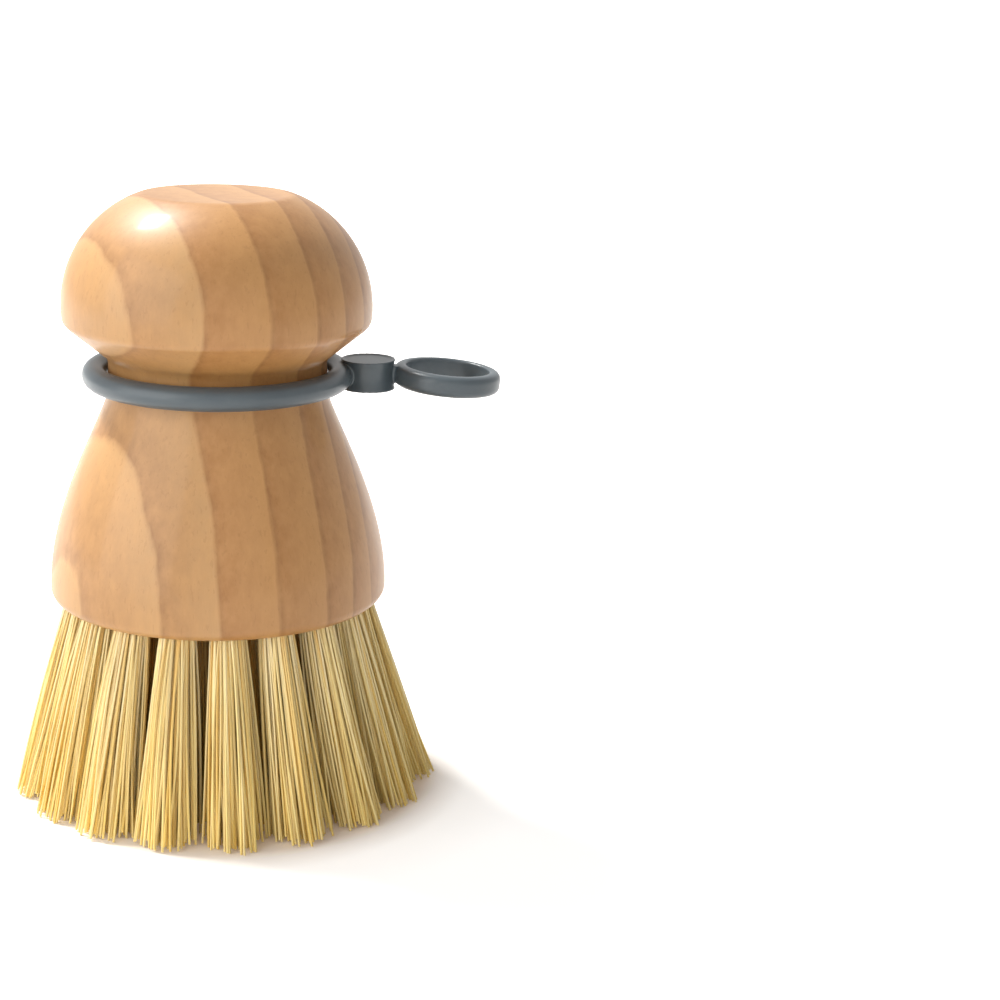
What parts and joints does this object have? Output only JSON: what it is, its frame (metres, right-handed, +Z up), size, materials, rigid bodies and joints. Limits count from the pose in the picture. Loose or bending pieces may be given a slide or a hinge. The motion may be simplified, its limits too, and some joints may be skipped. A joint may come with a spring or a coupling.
{
  "type": "palm brush",
  "caption": "Palm-held cleaning brush: a turned wooden knob handle with a waist and bell, fanned plant-fibre tufts below, and a soft ring with a hanging loop that turns round the waist.",
  "frame": {"origin": "on the brush's axis, at the flat cut of the fibre tips", "axes": "+Z up through the knob, +X towards the hanging loop, -Y towards the viewer of the picture"},
  "size_m": [0.0823, 0.0702, 0.101],
  "materials": {
    "wood": "pale hardwood with a satin lacquer",
    "soft_ring": "satin slate grey silicone",
    "anchor_wire": "plain flat wire",
    "plant_fibre": "stiff straw-coloured plant fibre"
  },
  "bodies": {
    "brush": {"handle": "wood", "tuft_anchors": "anchor_wire", "tuft_outer_01": "plant_fibre", "tuft_outer_02": "plant_fibre", "tuft_outer_03": "plant_fibre", "tuft_outer_04": "plant_fibre", "tuft_outer_05": "plant_fibre", "tuft_outer_06": "plant_fibre", "tuft_outer_07": "plant_fibre", "tuft_outer_08": "plant_fibre", "tuft_outer_09": "plant_fibre", "tuft_outer_10": "plant_fibre", "tuft_outer_11": "plant_fibre", "tuft_outer_12": "plant_fibre", "tuft_outer_13": "plant_fibre", "tuft_outer_14": "plant_fibre", "tuft_outer_15": "plant_fibre", "tuft_outer_16": "plant_fibre", "tuft_outer_17": "plant_fibre", "tuft_outer_18": "plant_fibre", "tuft_middle_01": "plant_fibre", "tuft_middle_02": "plant_fibre", "tuft_middle_03": "plant_fibre", "tuft_middle_04": "plant_fibre", "tuft_middle_05": "plant_fibre", "tuft_middle_06": "plant_fibre", "tuft_middle_07": "plant_fibre", "tuft_middle_08": "plant_fibre", "tuft_middle_09": "plant_fibre", "tuft_middle_10": "plant_fibre", "tuft_middle_11": "plant_fibre", "tuft_middle_12": "plant_fibre", "tuft_inner_01": "plant_fibre", "tuft_inner_02": "plant_fibre", "tuft_inner_03": "plant_fibre", "tuft_inner_04": "plant_fibre", "tuft_inner_05": "plant_fibre", "tuft_inner_06": "plant_fibre", "tuft_centre": "plant_fibre"},
    "ring": {"hang_ring": "soft_ring"}
  },
  "joints": [
    {"name": "ring_spin", "type": "hinge", "parent": "brush", "child": "ring", "pos_m": [0, 0, 0.0711], "axis": [0, 0, 1], "continuous": true}
  ]
}
